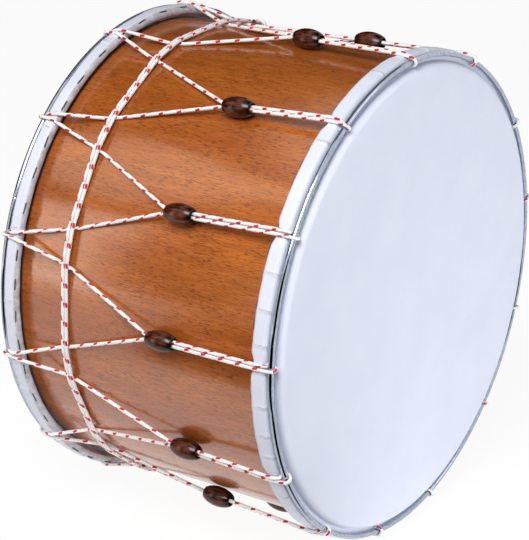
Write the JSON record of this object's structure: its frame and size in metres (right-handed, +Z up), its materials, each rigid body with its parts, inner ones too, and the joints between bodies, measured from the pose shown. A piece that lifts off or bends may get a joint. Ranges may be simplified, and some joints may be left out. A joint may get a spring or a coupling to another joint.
{
  "type": "rope-tensioned double-headed drum",
  "caption": "Cylindrical wooden drum with a white head on each end, steel tension rings, zigzag rope lacing, sliding wooden beads and a cord belt.",
  "frame": {"origin": "on the floor under the middle of the shell, the drum lying on its side", "axes": "+Y along the drum's axis from the near head to the far head, +Z up"},
  "size_m": [0.433, 0.2828, 0.4327],
  "materials": {
    "shell_wood": "clear gloss lacquer",
    "hoop_wood": "bare",
    "hide": "smooth satin",
    "ring_steel": "polished",
    "white_cord": "braided, white with red tracer dashes",
    "cord_end": "melted cord end",
    "bead_wood": "dark polish"
  },
  "bodies": {
    "drum": {"shell": "shell_wood", "near_flesh_hoop": "hoop_wood", "far_flesh_hoop": "hoop_wood", "near_head": "hide", "far_head": "hide", "near_steel_ring": "ring_steel", "far_steel_ring": "ring_steel", "tension_rope": "white_cord", "tension_rope_knot": "white_cord", "belt_cord": "white_cord", "belt_knot": "cord_end"},
    "bead_01": {"tension_bead_01": "bead_wood"},
    "bead_02": {"tension_bead_02": "bead_wood"},
    "bead_03": {"tension_bead_03": "bead_wood"},
    "bead_04": {"tension_bead_04": "bead_wood"},
    "bead_05": {"tension_bead_05": "bead_wood"},
    "bead_06": {"tension_bead_06": "bead_wood"},
    "bead_07": {"tension_bead_07": "bead_wood"},
    "bead_08": {"tension_bead_08": "bead_wood"},
    "bead_09": {"tension_bead_09": "bead_wood"},
    "bead_10": {"tension_bead_10": "bead_wood"},
    "bead_11": {"tension_bead_11": "bead_wood"},
    "bead_12": {"tension_bead_12": "bead_wood"},
    "bead_13": {"tension_bead_13": "bead_wood"}
  },
  "joints": [
    {"name": "bead_01_slide", "type": "slide", "parent": "drum", "child": "bead_01", "axis": [-0.0741, -0.9954, 0.0612], "range_m": [0, 0.073]},
    {"name": "bead_02_slide", "type": "slide", "parent": "drum", "child": "bead_02", "axis": [0.0041, -0.9969, 0.0788], "range_m": [0, 0.067]},
    {"name": "bead_03_slide", "type": "slide", "parent": "drum", "child": "bead_03", "axis": [-0.0305, -0.9973, 0.0662], "range_m": [0, 0.074]},
    {"name": "bead_04_slide", "type": "slide", "parent": "drum", "child": "bead_04", "axis": [-0.0598, -0.9977, 0.0317], "range_m": [0, 0.073]},
    {"name": "bead_05_slide", "type": "slide", "parent": "drum", "child": "bead_05", "axis": [-0.0679, -0.9976, -0.0134], "range_m": [0, 0.066]},
    {"name": "bead_06_slide", "type": "slide", "parent": "drum", "child": "bead_06", "axis": [-0.0371, -0.9982, -0.0472], "range_m": [0, 0.075]},
    {"name": "bead_07_slide", "type": "slide", "parent": "drum", "child": "bead_07", "axis": [-0.0135, -0.9979, -0.0636], "range_m": [0, 0.068]},
    {"name": "bead_08_slide", "type": "slide", "parent": "drum", "child": "bead_08", "axis": [0.0135, -0.9979, -0.0636], "range_m": [0, 0.068]},
    {"name": "bead_09_slide", "type": "slide", "parent": "drum", "child": "bead_09", "axis": [0.0449, -0.9978, -0.0491], "range_m": [0, 0.066]},
    {"name": "bead_10_slide", "type": "slide", "parent": "drum", "child": "bead_10", "axis": [0.0598, -0.9979, -0.0235], "range_m": [0, 0.069]},
    {"name": "bead_11_slide", "type": "slide", "parent": "drum", "child": "bead_11", "axis": [0.0622, -0.998, 0.0084], "range_m": [0, 0.071]},
    {"name": "bead_12_slide", "type": "slide", "parent": "drum", "child": "bead_12", "axis": [0.0564, -0.9978, 0.0338], "range_m": [0, 0.067]},
    {"name": "bead_13_slide", "type": "slide", "parent": "drum", "child": "bead_13", "axis": [0.0294, -0.998, 0.0563], "range_m": [0, 0.07]}
  ]
}
